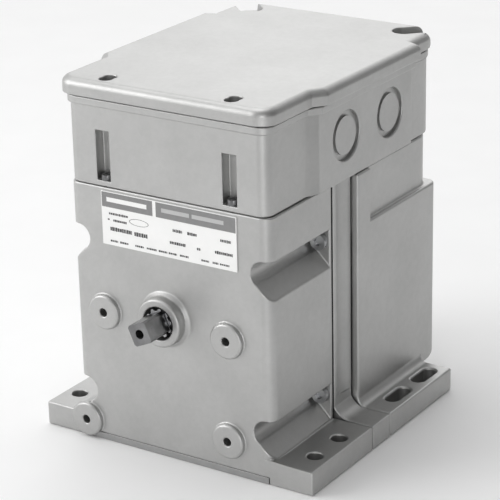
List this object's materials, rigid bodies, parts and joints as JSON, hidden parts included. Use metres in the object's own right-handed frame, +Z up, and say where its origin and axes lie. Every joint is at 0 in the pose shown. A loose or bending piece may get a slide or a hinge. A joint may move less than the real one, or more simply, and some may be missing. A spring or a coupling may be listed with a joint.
{
  "type": "motorized valve actuator",
  "caption": "Motorized valve actuator: die-cast gear case with a square output shaft, slotted mounting feet and a covered wiring box on top.",
  "frame": {"origin": "centre of the feet's footprint, on the mounting surface", "axes": "+Z up, -Y out of the power end of the output shaft, +X to the right seen from that end"},
  "size_m": [0.14, 0.173, 0.167],
  "materials": {
    "cast_aluminium": "sand-textured satin casting",
    "closing_plate": "plain rolled sheet",
    "zinc_screw": "zinc plated",
    "printed_label": "printed film",
    "sealing_rubber": "matte moulded rubber",
    "bronze": "sintered",
    "shaft_steel": "machined and oiled",
    "plated_steel": "bright zinc plated",
    "ground_steel": "ground",
    "gear_steel": "cut teeth, greased",
    "white_nylon": "moulded",
    "lamination_steel": "varnished laminations",
    "copper_winding": "enamelled wire, taped",
    "black_plastic": "moulded",
    "blue_plastic": "moulded",
    "spring_bronze": "stamped",
    "board_laminate": "solder mask over glass laminate",
    "can_sleeve": "shrink sleeve",
    "green_screw": "green passivated",
    "knockout_metal": "satin casting"
  },
  "bodies": {
    "casing": {"front_housing": "cast_aluminium", "middle_plate": "cast_aluminium", "rear_housing": "cast_aluminium", "front_gasket": "sealing_rubber", "rear_gasket": "sealing_rubber", "base_plate": "closing_plate", "base_plate_screws": "zinc_screw", "housing_screws": "zinc_screw", "nameplate": "printed_label", "shaft_seal": "sealing_rubber", "front_bush": "bronze", "rear_bush": "bronze", "second_spindle": "ground_steel", "first_spindle": "ground_steel", "motor_bearings": "ground_steel", "motor_stator": "lamination_steel", "motor_windings": "copper_winding", "motor_end_bracket": "cast_aluminium", "motor_spacers": "plated_steel", "motor_screws": "zinc_screw", "run_capacitor": "black_plastic", "capacitor_clamp": "plated_steel", "feedback_potentiometer": "blue_plastic", "potentiometer_bracket": "plated_steel", "switch_bracket": "plated_steel", "limit_switches": "black_plastic", "box_gasket": "sealing_rubber", "wiring_box": "cast_aluminium", "wiring_box_screws": "zinc_screw", "knockout_discs": "knockout_metal", "circuit_board": "board_laminate", "board_standoffs": "white_nylon", "terminal_block": "black_plastic", "terminal_screws": "spring_bronze", "board_relays": "black_plastic", "board_capacitors": "can_sleeve", "transformer_core": "lamination_steel", "transformer_coil": "copper_winding", "transformer_screws": "zinc_screw", "wire_grommet": "sealing_rubber", "ground_screw": "green_screw", "cover_gasket": "sealing_rubber"},
    "output": {"output_shaft": "shaft_steel", "toothed_collar": "plated_steel", "output_gear": "gear_steel", "limit_cams": "white_nylon", "feedback_gear": "white_nylon", "shaft_rings": "plated_steel"},
    "second_cluster": {"second_gear": "gear_steel"},
    "first_cluster": {"first_gear": "gear_steel"},
    "rotor": {"motor_shaft": "ground_steel", "motor_rotor": "lamination_steel"},
    "feedback": {"potentiometer_gear": "white_nylon"},
    "front_lever": {"switch_lever_front": "spring_bronze"},
    "rear_lever": {"switch_lever_rear": "spring_bronze"},
    "cover": {"top_cover": "cast_aluminium", "cover_screws": "zinc_screw"}
  },
  "joints": [
    {"name": "output_turn", "type": "hinge", "parent": "casing", "child": "output", "pos_m": [-0.0025, 0, 0.0655], "axis": [0, 1, 0], "range_deg": [0, 160]},
    {"name": "second_gear_spin", "type": "hinge", "parent": "casing", "child": "second_cluster", "pos_m": [0.01271, -0.03, 0.03287], "axis": [0, 1, 0], "range_deg": [-800.5, 0.5]},
    {"name": "first_gear_spin", "type": "hinge", "parent": "casing", "child": "first_cluster", "pos_m": [-0.01092, -0.025, 0.03704], "axis": [0, 1, 0], "range_deg": [-0.5, 3200.5]},
    {"name": "motor_spin", "type": "hinge", "parent": "casing", "child": "rotor", "pos_m": [-0.02717, 0.03, 0.03417], "axis": [0, 1, 0], "range_deg": [-14400.5, 0.5]},
    {"name": "feedback_spin", "type": "hinge", "parent": "casing", "child": "feedback", "pos_m": [0.0119, 0.03, 0.08266], "axis": [0, 1, 0], "range_deg": [-288.5, 0.5]},
    {"name": "front_lever_swing", "type": "hinge", "parent": "casing", "child": "front_lever", "pos_m": [0.015, 0.011, 0.0482], "axis": [0, 1, 0], "range_deg": [0, 5], "stiffness_Nm_per_rad": 0.02, "springref_deg": -5.73},
    {"name": "rear_lever_swing", "type": "hinge", "parent": "casing", "child": "rear_lever", "pos_m": [0.015, 0.018, 0.0482], "axis": [0, 1, 0], "range_deg": [0, 5], "stiffness_Nm_per_rad": 0.02, "springref_deg": -5.73},
    {"name": "cover_lift", "type": "slide", "parent": "casing", "child": "cover", "axis": [0, 0, 1], "range_m": [0, 0.06]}
  ],
  "couplings": [
    {"joint": "second_gear_spin", "follows": "output_turn", "ratio": -5},
    {"joint": "first_gear_spin", "follows": "output_turn", "ratio": 20},
    {"joint": "motor_spin", "follows": "output_turn", "ratio": -90},
    {"joint": "feedback_spin", "follows": "output_turn", "ratio": -1.8}
  ]
}
